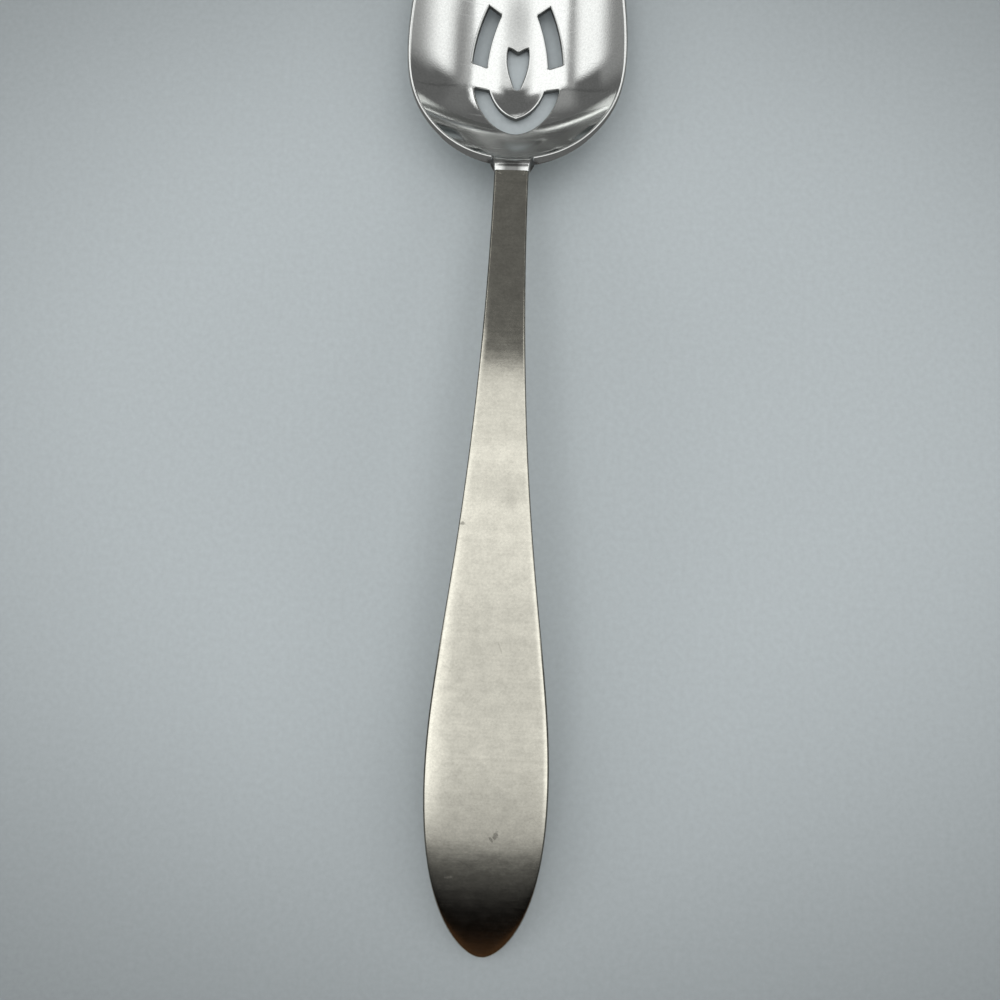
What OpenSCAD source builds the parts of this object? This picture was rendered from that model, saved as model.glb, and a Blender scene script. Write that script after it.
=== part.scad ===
// Slotted serving spoon of polished and satin stainless steel, lying on a table.
// +X is to the right, +Y runs from the handle's tip to the bowl's tip, and +Z is up. The origin is at
// the middle of the spoon's length, on the table that it lies on.
// The real spoon is one pressed blank. A straight line across its neck parts the mirror-polished bowl
// from the satin handle, and the two nodes meet face to face on that line.

/* [Bowl] */
// Length of the bowl, from its rear end under the neck to its tip
bowl_l = 71.8; // [66:0.2:84]
// Width of the bowl over the outside of its rim
bowl_w = 45; // [40:0.2:52]
// Distance of the bowl's widest place from its rear end
bowl_wide_y = 26.7; // [24:0.1:32]
// Depth of the bowl below the level part of its rim
bowl_depth = 9.4; // [7.6:0.2:13]
// Thickness of the metal in the floor of the bowl
floor_t = 1.4; // [1:0.1:2.2]
// Width of the rim's edge at the sides
rim_side_t = 0.75; // [0.6:0.05:1.2]
// Width of the rim's edge at the rear, where the metal runs into the neck
rim_rear_t = 1.6; // [1:0.1:2.4]
// Width of the rim's edge at the tip
rim_tip_t = 0.9; // [0.6:0.1:1.6]
// Angle at which the whole rim climbs from the neck's side to the tip
rim_pitch = 4.6; // [0:0.2:6]
// How much the rim curves up from that line at the neck
rim_rear_rise = 4.6; // [3:0.2:6]
// How much the rim curves up from that line at the tip
rim_tip_rise = 0.6; // [0:0.2:2]
// Depth of the flat that use has worn on the underside
worn_flat = 0.2; // [0.1:0.05:0.4]

/* [Handle] */
// Length of the satin handle, from its tip to the finish line across the neck
handle_l = 150; // [125:0.5:180]
// Greatest width of the handle
blade_w = 22.5; // [18:0.1:28]
// Distance of the handle's widest place from its tip
blade_wide_y = 32; // [24:1:44]
// Width of the blunt end of the tip
tip_w = 0.6; // [0.4:0.1:2]
// Width of the neck at the finish line
neck_w = 6.7; // [5.6:0.1:9]
// Thickness of the handle at its tip
blade_t = 2.2; // [1.6:0.1:3]
// Thickness of the handle at the neck
neck_t = 3.2; // [2.4:0.1:4]
// How far the neck's top stands above the rear of the rim
neck_rise = 2.4; // [1.6:0.1:3.4]
// Angle at which the tip rises from the table
tip_angle = 27; // [18:1:34]
// Angle at which the handle falls to the neck
neck_angle = 11.5; // [5:0.5:16]
// Radius of the handle's long edges
edge_r = 0.35; // [0.25:0.05:0.8]
// How far the middle of the handle's top stands above its sides
crown_h = 0.25; // [0:0.05:0.5]

/* [Neck root] */
// Length of polished metal between the finish line and the bowl's rear end
root_l = 2.4; // [1.6:0.1:3.6]
// How far inside the bowl the crest of the neck has run down into the rear wall
root_in_l = 3.4; // [2.8:0.1:4.6]
// How far inside the bowl the heel under the neck has run out
heel_l = 6.25; // [5:0.25:8.5]
// Width of the heel where it runs out
heel_w = 5; // [4:0.2:6]

/* [Side slots] */
// Radius of the middle line of each curved side slot
slot_bend_r = 36; // [30:1:50]
// Width of a side slot
slot_w = 3; // [2:0.1:3.6]
// Distance of a side slot's near end from the bowl's rear end
slot_near_y = 27; // [26.2:0.1:28.8]
// Distance of a side slot's near end from the axis
slot_near_x = 8; // [7.4:0.05:9]
// Lean of the side slot at its near end
slot_near_angle = 4; // [0:0.5:10]
// Lean of the side slot at its far end
slot_far_angle = 23.5; // [18:0.5:30]
// How far a slot's ends lean forward from a square cut, over half its width
slot_skew = 0.16; // [0:0.02:0.4]

/* [Shield hole] */
// Distance of the shield's rounded foot from the bowl's rear end
shield_foot_y = 22.4; // [21.8:0.1:23.2]
// Length of the shield, from its foot to its two upper corners
shield_l = 9.15; // [7:0.05:11]
// Width of the shield at its upper corners
shield_w = 4.2; // [3:0.1:5.6]
// Radius of the shield's foot
shield_foot_r = 0.75; // [0.5:0.05:1.1]
// Depth of the notch between the shield's upper corners
shield_notch = 0.95; // [0.4:0.05:1.8]

/* [Crescent slot] */
// Distance of the crescent's foot from the bowl's rear end
crescent_foot_y = 11; // [9.8:0.1:12.4]
// Length of the crescent, from its foot to the tops of its two ears
crescent_l = 10.9; // [9.8:0.1:12.4]
// Width of the crescent over its ears
crescent_w = 17.8; // [16:0.1:20]
// Width of the metal tongue between the ears
tongue_w = 11.7; // [9:0.1:13]
// Width of the crescent slot at its foot
crescent_t = 4.45; // [3.5:0.05:5.2]

/* [Leaf hole] */
// Distance of the leaf's near point from the bowl's rear end
leaf_near_y = 43.3; // [41.8:0.1:45.8]
// Length of the leaf
leaf_l = 12.5; // [6:0.5:14]
// Greatest width of the leaf
leaf_w = 3.4; // [2:0.1:4.4]

/* [Hidden] */

// How far the cuts run past the faces they open
overrun = 1;
// How deep the root's hidden end lies inside the bowl's wall
root_bed = 0.35;

// Shape of the bowl's section: 2 is a parabola, more gives a flatter floor and steeper walls
bowl_power_share = 2.1;
// How fast the rim climbs towards the neck and the tip
rim_power_share = 3.6;
// Part of the bowl over which its short rear shape turns into its long front shape
blend_share = 0.9;
// Reach of the handle's rising curve and of its falling curve, of the handle's length
rise_reach_share = 0.33;
fall_reach_share = 0.465;
// Fullness of the tip's round, across and along
tip_full_share = 0.22;
tip_long_share = 0.18;
// Where the handle's narrowing begins and where it has ended, of the length past its widest place
narrow_start_share = 0.225;
narrow_end_share = 0.357;
// Where the neck's crest turns down, of the root's whole length
crest_turn_share = 0.42;
crest_drop_share = 0.7;
// Where the crescent's outer curve and the tongue's ogee bend, across and along
crescent_side_share = [0.95, 0.51];
crescent_foot_share = 0.4;
tongue_side_share = [0.85, 0.52];
tongue_foot_share = [0.41, 0.07];
// Where the shield's sides bulge, of half its width and of its length
shield_top_share = [1.28, 0.64];
shield_low_share = [0.76, 0.33];
// Where the notch between the shield's corners bends, of half its width and of its depth
notch_out_share = [0.48, 0.6];
notch_in_share = [0.33, 0.05];
// Where the leaf is fullest, of its length near each point, and how far its curve is pulled out
leaf_near_share = 0.36;
leaf_far_share = 0.76;
leaf_pull_share = 0.67;
// Where the heel's curve leaves the neck and where it meets the bowl, of the heel's length and drop
heel_out_share = [0.25, 0.3];
heel_in_share = [0.33, 0.33];
// Most of a section's half width and thickness that its rounded corners may take
corner_w_share = 0.9;
corner_t_share = 0.45;

// Counts of steps along the curves
around_n = 72;
ring_n = 12;
tip_n = 12;
side_n = 34;
root_n = 8;
curve_n = 8;
corner_n = 3;
search_n = 24;

// Places along the spoon, from the handle's tip
overall_l = handle_l + root_l + bowl_l;
rear_y = handle_l + root_l;
wide_y = rear_y + bowl_wide_y;
front_l = bowl_l - bowl_wide_y;

// Inside and outside of the bowl: half width, rear length, front length and depth
inside = [bowl_w / 2 - rim_side_t, bowl_wide_y - rim_rear_t, front_l - rim_tip_t, bowl_depth];
outside = [bowl_w / 2, bowl_wide_y, front_l, bowl_depth + floor_t];

// How much lower the underside gets behind its widest place, because the rim climbs
pitch_drop = max([for (i = [0 : search_n])
    let (rho = i / search_n)
    -egg_y(-rho, outside) * tan(rim_pitch) - outside[3] * pow(rho, bowl_power_share)]);

// Heights over the table
rim_h = outside[3] - worn_flat + pitch_drop;
rear_rim_h = rim_h + rim_rear_rise - bowl_wide_y * tan(rim_pitch);
neck_h = rear_rim_h + neck_rise;
tip_h = blade_t / cos(tip_angle);

// A point on a cubic curve through p[0] and p[3] that leaves towards p[1] and arrives from p[2]
function cubic(p, u) = pow(1 - u, 3) * p[0] + 3 * u * pow(1 - u, 2) * p[1]
    + 3 * u * u * (1 - u) * p[2] + pow(u, 3) * p[3];

// All points of a cubic curve in n steps, without its last one
function cubic_run(p, n) = [for (i = [0 : n - 1]) cubic(p, i / n)];

// Where on a cubic curve its first coordinate reaches the value y
function cubic_at(p, y, low = 0, high = 1, left = search_n) =
    let (mid = (low + high) / 2)
    left == 0 ? mid
    : cubic(p, mid)[0] < y ? cubic_at(p, y, mid, high, left - 1)
    : cubic_at(p, y, low, mid, left - 1);

// A step from 0 to 1 with no kink at either end
function soft_step(s) = let (c = min(max(s, 0), 1)) c * c * c * (c * (6 * c - 15) + 10);

// Height of the rim at a distance y ahead of the bowl's widest place
function rim_z(y) = rim_h + y * tan(rim_pitch)
    + rim_rear_rise * pow(max(-y, 0) / bowl_wide_y, rim_power_share)
    + rim_tip_rise * pow(max(y, 0) / front_l, rim_power_share);

// Length of the egg shape along the axis at a share s of it, from -1 at the rear to 1 at the tip
function egg_y(s, side) = s * (side[1] + (side[2] - side[1]) * soft_step((s / blend_share + 1) / 2));

// A point of one side of the bowl, at a share rho of the way out, in the direction a
function bowl_point(rho, a, side) =
    let (y = egg_y(rho * sin(a), side))
    [side[0] * rho * cos(a), wide_y + y,
     rim_z(y) - side[3] * (1 - pow(rho, bowl_power_share))];

// Share of the egg shape's rear half at which its length along the axis reaches the value y
function egg_share(y, side, low = -1, high = 0, left = search_n) =
    let (mid = (low + high) / 2)
    left == 0 ? mid
    : egg_y(mid, side) < y ? egg_share(y, side, mid, high, left - 1)
    : egg_share(y, side, low, mid, left - 1);

// Height of one side of the bowl on the axis, at a distance t ahead of the bowl's rear end
function wall_z(t, side) =
    let (y = t - bowl_wide_y)
    rim_z(y) - side[3] * (1 - pow(-egg_share(y, side), bowl_power_share));

// Side profile of the handle's top, from its tip to the finish line
handle_top = [
    [0, tip_h],
    [rise_reach_share * handle_l, tip_h + rise_reach_share * handle_l * tan(tip_angle)],
    [(1 - fall_reach_share) * handle_l, neck_h + fall_reach_share * handle_l * tan(neck_angle)],
    [handle_l, neck_h]];

// Half width of the handle, round the tip and then along the narrowing sides
tip_curve = [
    [0, tip_w / 2],
    [0, tip_w / 2 + tip_full_share * (blade_w - tip_w) / 2],
    [tip_long_share * blade_wide_y, blade_w / 2],
    [blade_wide_y, blade_w / 2]];
taper_l = handle_l - blade_wide_y;
side_curve = [
    [blade_wide_y, blade_w / 2],
    [blade_wide_y + narrow_start_share * taper_l, blade_w / 2],
    [blade_wide_y + narrow_end_share * taper_l, neck_w / 2],
    [handle_l, neck_w / 2]];
handle_outline = concat(cubic_run(tip_curve, tip_n), cubic_run(side_curve, side_n), [side_curve[3]]);

// Crest of the neck, from the finish line down into the rear wall, and the heel below it
root_start = [-root_l, neck_h];
root_end = [root_in_l, wall_z(root_in_l, inside) - root_bed];
crest_run = root_in_l + root_l;
crest_curve = [
    root_start,
    root_start + [crest_turn_share * crest_run, 0],
    [root_start[0] + crest_turn_share * crest_run, root_end[1] + crest_drop_share * (neck_h - root_end[1])],
    root_end];
heel_start = [-root_l, neck_h - neck_t];
heel_end = [heel_l, wall_z(heel_l, outside) + root_bed];
heel_run = heel_l + root_l;
heel_curve = [
    heel_start,
    heel_start + [heel_out_share[0] * heel_run, -heel_out_share[1] * heel_out_share[0] * heel_run],
    heel_end + [-heel_in_share[0] * heel_run, heel_in_share[1] * (heel_start[1] - heel_end[1])],
    heel_end];

// One quarter turn of a rounded corner of radius r about c, beginning at the angle from
function corner(c, r, from) = [for (i = [0 : corner_n])
    c + r * [cos(from + 90 * i / corner_n), sin(from + 90 * i / corner_n)]];

// Upright section at a distance y from the handle's tip: half width w, top at z and thickness t
function section(y, w, z, t, crown) =
    let (r = min(edge_r, w * corner_w_share, t * corner_t_share),
         flat = concat(
            corner([w - r, z - crown - r], r, 0),
            [[0, z]],
            corner([r - w, z - crown - r], r, 90),
            corner([r - w, z - t + r], r, 180),
            corner([w - r, z - t + r], r, 270)))
    [for (q = flat) [q[0], y, q[1]]];

// Closed skin through a row of sections with equal counts of points
module loft(rows) {
    m = len(rows[0]);
    last = len(rows) - 1;
    points = [for (row = rows) each row];
    sides = [for (i = [0 : last - 1], j = [0 : m - 1])
        let (a = i * m + j, b = i * m + (j + 1) % m)
        each [[a, b, a + m], [b, b + m, a + m]]];
    near = [for (j = [1 : m - 2]) [0, j + 1, j]];
    far = [for (j = [1 : m - 2]) [last * m, last * m + j, last * m + j + 1]];
    polyhedron(points, concat(sides, near, far));
}

// Thickness of the handle at a distance y from its tip, square to its slope
function handle_t(y) = blade_t + (neck_t - blade_t) * soft_step(y / handle_l);

// Section of the handle at a point [distance from the tip, half width] of its outline
function handle_section(q) =
    let (u = cubic_at(handle_top, q[0]),
         back = cubic(handle_top, max(u - 1 / search_n, 0)),
         ahead = cubic(handle_top, min(u + 1 / search_n, 1)),
         slope = atan((ahead[1] - back[1]) / (ahead[0] - back[0])),
         end_share = min(q[1] / (blade_w / 2), 1))
    q[0] == handle_l ? section(handle_l, neck_w / 2, neck_h, neck_t, crown_h * neck_w / blade_w)
    : section(q[0], q[1], cubic(handle_top, u)[1], handle_t(q[0]) / cos(slope), crown_h * end_share);

// Section of the neck's root at a share s of its length
function root_section(s) =
    let (top_t = -root_l + s * crest_run,
         low_t = -root_l + s * heel_run,
         top = cubic(crest_curve, cubic_at(crest_curve, top_t)),
         low = cubic(heel_curve, cubic_at(heel_curve, low_t)),
         w = neck_w + (heel_w - neck_w) * soft_step(s),
         upright = section(0, w / 2, top[1], top[1] - low[1], crown_h * neck_w / blade_w * (1 - s)))
    [for (q = upright)
        let (rise = (q[2] - low[1]) / (top[1] - low[1]))
        [q[0], rear_y + low[0] + (top[0] - low[0]) * rise, q[2]]];

// Pressed shell of the bowl before it is pierced
module bowl_shell() {
    skin = [for (side = [inside, outside])
        concat([bowl_point(0, 0, side)],
            [for (k = [1 : ring_n], i = [0 : around_n - 1])
                bowl_point(k / ring_n, 360 * i / around_n, side)])];
    n = around_n;
    under = len(skin[0]);
    hub = [for (i = [0 : n - 1]) let (j = (i + 1) % n)
        each [[0, 1 + j, 1 + i], [under, under + 1 + i, under + 1 + j]]];
    rings = [for (k = [0 : ring_n - 2], i = [0 : n - 1])
        let (j = (i + 1) % n, a = 1 + k * n + i, b = 1 + k * n + j)
        each [[a, b, a + n], [b, b + n, a + n],
              [under + a, under + a + n, under + b], [under + b, under + a + n, under + b + n]]];
    edge = [for (i = [0 : n - 1])
        let (j = (i + 1) % n, a = 1 + (ring_n - 1) * n + i, b = 1 + (ring_n - 1) * n + j)
        each [[a, b, under + a], [b, under + b, under + a]]];
    polyhedron(concat(skin[0], skin[1]), concat(hub, rings, edge));
}

// Polished root that carries the bowl on the neck
module neck_root() {
    loft([for (i = [0 : root_n]) root_section(i / root_n)]);
}

// What use has worn off the underside, down to the table
module worn_off() {
    translate([-bowl_w / 2, rear_y, -overrun])
        cube([bowl_w, bowl_l, overrun]);
}

// Outline on both sides of the axis, from the points of its right half
function mirrored(half) = concat(half, [for (i = [len(half) - 1 : -1 : 0]) [-half[i][0], half[i][1]]]);

// Cuts one outline, drawn ahead of the bowl's rear end, right through the floor
module pierce(outline) {
    translate([0, rear_y, -overrun])
        linear_extrude(rear_rim_h + overrun)
            polygon(outline);
}

// Curved slot beside the shield, on the right for side = 1 and on the left for side = -1
module side_slot(side) {
    centre = [slot_near_x - slot_bend_r * cos(slot_near_angle),
              slot_near_y - slot_bend_r * sin(slot_near_angle)];
    lean = slot_far_angle - slot_near_angle;
    skew = asin(slot_skew / slot_bend_r);
    function arc(r, from, turn) = [for (i = [0 : curve_n])
        centre + r * [cos(from + turn * i / curve_n), sin(from + turn * i / curve_n)]];
    outline = concat(
        arc(slot_bend_r + slot_w / 2, slot_near_angle + skew, lean),
        arc(slot_bend_r - slot_w / 2, slot_far_angle - skew, -lean));
    pierce([for (q = outline) [side * q[0], q[1]]]);
}

// Shield with a notched top and a rounded foot
module shield_hole() {
    half_w = shield_w / 2;
    top_y = shield_foot_y + shield_l;
    foot_y = shield_foot_y + shield_foot_r;
    notch = [
        [0, top_y - shield_notch],
        [notch_in_share[0] * half_w, top_y - shield_notch + notch_in_share[1] * shield_notch],
        [notch_out_share[0] * half_w, top_y - (1 - notch_out_share[1]) * shield_notch],
        [half_w, top_y]];
    flank = [
        [half_w, top_y],
        [shield_top_share[0] * half_w, shield_foot_y + shield_top_share[1] * shield_l],
        [shield_low_share[0] * half_w, shield_foot_y + shield_low_share[1] * shield_l],
        [shield_foot_r, foot_y]];
    foot = [for (i = [0 : corner_n]) let (a = -90 * i / corner_n)
        [0, foot_y] + shield_foot_r * [cos(a), sin(a)]];
    half = concat(cubic_run(notch, curve_n), cubic_run(flank, curve_n), foot);
    pierce(mirrored([for (i = [1 : len(half) - 2]) half[i]]));
}

// Crescent with two ears round the foot of a pointed tongue
module crescent_slot() {
    ear_y = crescent_foot_y + crescent_l;
    tongue_y = crescent_foot_y + crescent_t;
    tongue_l = ear_y - tongue_y;
    outer = [
        [crescent_w / 2, ear_y],
        [crescent_side_share[0] * crescent_w / 2, crescent_foot_y + crescent_side_share[1] * crescent_l],
        [crescent_foot_share * crescent_w / 2, crescent_foot_y],
        [0, crescent_foot_y]];
    inner = [
        [0, tongue_y],
        [tongue_foot_share[0] * tongue_w / 2, tongue_y + tongue_foot_share[1] * tongue_l],
        [tongue_side_share[0] * tongue_w / 2, tongue_y + tongue_side_share[1] * tongue_l],
        [tongue_w / 2, ear_y]];
    right = concat(cubic_run(inner, curve_n), [inner[3]], cubic_run(outer, curve_n));
    pierce(concat(right, [outer[3]], [for (i = [len(right) - 1 : -1 : 1]) [-right[i][0], right[i][1]]]));
}

// Slim pointed leaf on the axis, ahead of the shield
module leaf_hole() {
    flank = [
        [0, leaf_near_y],
        [leaf_pull_share * leaf_w, leaf_near_y + leaf_near_share * leaf_l],
        [leaf_pull_share * leaf_w, leaf_near_y + leaf_far_share * leaf_l],
        [0, leaf_near_y + leaf_l]];
    right = cubic_run(flank, curve_n);
    pierce(concat(right, [flank[3]], [for (i = [len(right) - 1 : -1 : 1]) [-right[i][0], right[i][1]]]));
}

// Mirror-polished bowl with its pierced floor and the root up to the finish line
module bowl() {
    color("gainsboro")
        translate([0, -overall_l / 2, 0])
            union() {
                difference() {
                    bowl_shell();
                    worn_off();
                    side_slot(1);
                    side_slot(-1);
                    shield_hole();
                    crescent_slot();
                    leaf_hole();
                }
                neck_root();
            }
}

// Satin handle from the finish line to its pointed tip
module handle() {
    color("darkgray")
        translate([0, -overall_l / 2, 0])
            loft([for (q = handle_outline) handle_section(q)]);
}

bowl();
handle();
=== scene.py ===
"""Slotted serving spoon of stainless steel: a mirror-polished, pierced bowl and a satin handle.

The code pierces and presses one flat sheet into the bowl, and cuts, rounds and bends another into the
handle. That is a way to model them: how the real spoon was made isn't known. The two end face to face
at the finish line across the neck, where their outlines differ by up to 0.3 mm. The room, the duller
zones of the polish, the painted shade on the polish and along the handle's edges, and the painted fall
of light across the table were fitted to one photograph.
"""
import logging
import math
from dataclasses import dataclass, field
from enum import Enum
from typing import Callable, Iterable, Sequence

import bmesh
import bpy
from mathutils import Matrix, Vector, geometry


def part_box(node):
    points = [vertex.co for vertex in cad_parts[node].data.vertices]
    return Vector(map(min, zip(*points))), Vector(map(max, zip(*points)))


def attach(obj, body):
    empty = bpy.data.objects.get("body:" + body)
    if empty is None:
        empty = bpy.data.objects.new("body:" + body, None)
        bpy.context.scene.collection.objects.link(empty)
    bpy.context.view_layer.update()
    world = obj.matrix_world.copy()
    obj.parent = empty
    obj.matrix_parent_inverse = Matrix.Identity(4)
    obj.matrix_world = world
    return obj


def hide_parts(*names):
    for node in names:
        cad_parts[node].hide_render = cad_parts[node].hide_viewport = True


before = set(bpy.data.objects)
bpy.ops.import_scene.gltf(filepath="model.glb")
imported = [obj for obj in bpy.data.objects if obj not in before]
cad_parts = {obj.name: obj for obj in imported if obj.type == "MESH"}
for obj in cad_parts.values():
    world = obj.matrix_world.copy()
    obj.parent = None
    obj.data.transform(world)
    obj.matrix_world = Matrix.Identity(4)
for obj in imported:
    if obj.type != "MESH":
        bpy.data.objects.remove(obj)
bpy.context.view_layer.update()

LOG = logging.getLogger("spoon")
MM = 0.001
HALVINGS = 40
NECK_ANGLE = math.radians(11.5)
SMOOTH_ANGLE = math.radians(50)


class Side(Enum):
    """The two faces of the pressed sheet."""

    TOP = "top"
    UNDER = "under"


def soft_step(share: float) -> float:
    """Steps from 0 to 1 with no kink at either end.

    Args:
        share: How far through the step, held between 0 and 1.

    Returns:
        The height of the step.
    """
    s = min(max(share, 0.0), 1.0)
    return s * s * s * (s * (6 * s - 15) + 10)


def bent(a: Vector, corner: Vector, b: Vector, shares: Iterable[float]) -> list[Vector]:
    """Returns points on the curve from a to b that rounds a corner."""
    return [a * (1 - u) ** 2 + corner * (2 * u * (1 - u)) + b * u * u for u in shares]


def mix(a: Vector, b: Vector, share: float) -> Vector:
    """Returns the point at a share of the way from a to b."""
    return a + (b - a) * share


def mirrored(run: Sequence[Vector]) -> list[Vector]:
    """Returns a run of points on the other side of the axis, from its end to its start."""
    return [Vector((-p[0], *p[1:])) for p in reversed(run)]


def solved(grows: Callable[[float], float], wanted: float, low: float, high: float) -> float:
    """Finds by halving where a growing function has a wanted value.

    Args:
        grows: The function.
        wanted: Its value there.
        low: A place before it.
        high: A place after it.

    Returns:
        The place.
    """
    for _ in range(HALVINGS):
        middle = (low + high) / 2
        if grows(middle) < wanted:
            low = middle
        else:
            high = middle
    return (low + high) / 2


@dataclass(frozen=True)
class Cubic:
    """A cubic curve through its first and last point, pulled towards the two between them."""

    points: tuple[Vector, Vector, Vector, Vector]

    def at(self, u: float) -> Vector:
        """Returns the point of the curve at u, from 0 to 1."""
        a, b, c, d = self.points
        v = 1 - u
        return a * v**3 + b * (3 * u * v * v) + c * (3 * u * u * v) + d * u**3

    def run(self, steps: int) -> list[Vector]:
        """Returns steps + 1 points, spread evenly in u."""
        return [self.at(i / steps) for i in range(steps + 1)]

    def reach(self, first: float) -> Vector:
        """Returns the point where the first coordinate, which grows along the curve, has a given value."""
        return self.at(solved(lambda u: self.at(u)[0], first, 0.0, 1.0))


@dataclass(frozen=True)
class BowlForm:
    """The pressed form of the bowl: an egg-shaped dish whose rim climbs towards both ends.

    A place on the sheet is given on a unit disc, with xi across and sigma from -1 at the neck to 1 at
    the tip.
    """

    rear_y: float
    length: float = 71.55 * MM
    width: float = 45 * MM
    wide_from_rear: float = 26.45 * MM
    depth: float = 9.4 * MM
    floor: float = 1.4 * MM
    side_rim: float = 0.75 * MM
    rear_rim: float = 1.35 * MM
    tip_rim: float = 0.9 * MM
    pitch: float = math.radians(4.6)
    rear_rise: float = 4.6 * MM
    tip_rise: float = 0.6 * MM
    worn_flat: float = 0.2 * MM
    rim_top: float = 0.25 * MM
    rim_fall: float = 0.88
    fall_start: float = 0.86
    power: float = 2.1
    rim_power: float = 3.6
    blend: float = 0.9
    share_limit: float = 1.2
    drop_steps: int = 24

    @property
    def wide_y(self) -> float:
        """Where the bowl is widest."""
        return self.rear_y + self.wide_from_rear

    @property
    def front(self) -> float:
        """Length of the bowl ahead of its widest place."""
        return self.length - self.wide_from_rear

    def reach(self, side: Side) -> tuple[float, float, float, float]:
        """Returns half width, rear length, front length and depth of one face."""
        half = self.width / 2
        if side is Side.UNDER:
            return half, self.wide_from_rear, self.front, self.depth + self.floor
        rear, front = self.wide_from_rear - self.rear_rim, self.front - self.tip_rim
        return half - self.side_rim, rear, front, self.depth

    def along(self, sigma: float, side: Side) -> float:
        """Returns how far ahead of the widest place the share sigma lies."""
        _, rear, front, _ = self.reach(side)
        return sigma * (rear + (front - rear) * soft_step((sigma / self.blend + 1) / 2))

    def share(self, y: float, side: Side) -> float:
        """Returns the share sigma that lies a distance y ahead of the widest place."""
        return solved(lambda sigma: self.along(sigma, side), y, -self.share_limit, self.share_limit)

    @property
    def pitch_drop(self) -> float:
        """How much lower the underside gets behind its widest place, because the rim climbs."""
        _, _, _, depth = self.reach(Side.UNDER)
        shares = [i / self.drop_steps for i in range(self.drop_steps + 1)]
        return max(-self.along(-share, Side.UNDER) * math.tan(self.pitch) - depth * share**self.power
                   for share in shares)

    def rim_z(self, y: float) -> float:
        """Returns the rim's height a distance y ahead of the widest place."""
        level = self.depth + self.floor - self.worn_flat + self.pitch_drop
        rear = self.rear_rise * (max(-y, 0) / self.wide_from_rear) ** self.rim_power
        tip = self.tip_rise * (max(y, 0) / self.front) ** self.rim_power
        return level + y * math.tan(self.pitch) + rear + tip

    def outer_drop(self, xi: float, sigma: float) -> float:
        """Returns how far the rim falls away outwards, beyond its narrow top, in one direction."""
        rho = math.hypot(xi, sigma)
        inner, outer = ((xi / rho * self.reach(side)[0], self.along(sigma / rho, side)) for side in Side)
        land = math.dist(inner, outer)
        return self.rim_z(outer[1]) - self.rim_z(inner[1]) + max(land - self.rim_top, 0) * self.rim_fall

    def place(self, xi: float, sigma: float, side: Side) -> Vector:
        """Presses a place of the disc.

        Args:
            xi: Place across the disc.
            sigma: Place along the disc.
            side: Which face of the sheet.

        Returns:
            The point of that face.
        """
        half, _, _, depth = self.reach(side)
        y = self.along(sigma, side)
        rho = math.hypot(xi, sigma)
        z = self.rim_z(y) - depth * (1 - rho**self.power)
        point = Vector((xi * half, self.wide_y + y, z))
        if side is Side.UNDER:
            if rho > self.fall_start:
                share = soft_step((rho - self.fall_start) / (1 - self.fall_start))
                point.z -= self.outer_drop(xi, sigma) * share
            point.z = max(point.z, 0.0)
        return point

    def over(self, x: float, y: float, side: Side) -> Vector:
        """Returns the point of a face that lies over the plan place x, y."""
        half, _, _, _ = self.reach(side)
        return self.place(x / half, self.share(y - self.wide_y, side), side)


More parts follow.
